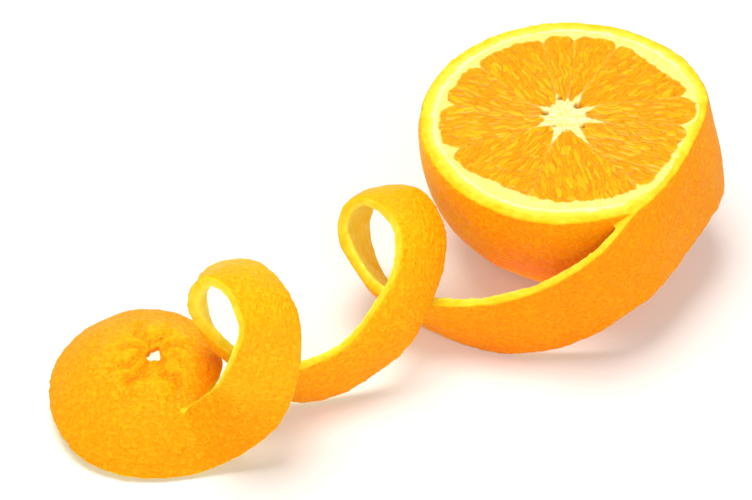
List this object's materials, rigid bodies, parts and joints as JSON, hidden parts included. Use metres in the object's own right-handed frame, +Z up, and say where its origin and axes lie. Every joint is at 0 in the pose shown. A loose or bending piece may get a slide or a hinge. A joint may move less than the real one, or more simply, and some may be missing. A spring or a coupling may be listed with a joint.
{
  "type": "orange peel",
  "caption": "Half an orange standing cut side up, its peel still joined at one flank and pulled away as a strip in two standing curls that ends in the stem-end cap",
  "frame": {"origin": "middle of the footprint, on the table", "axes": "+X toward the half orange, away from the cap; +Z up; -Y is the side where the curls stand"},
  "size_m": [0.1794, 0.13, 0.0545],
  "materials": {
    "orange_rind": "waxy pored orange skin, with yellow zest and pale pith at every cut edge",
    "orange_flesh": "wet cut pulp in segments, with pale walls and a pale star-shaped core"
  },
  "bodies": {
    "root": {"peel": "orange_rind", "flesh": "orange_flesh"}
  },
  "joints": []
}
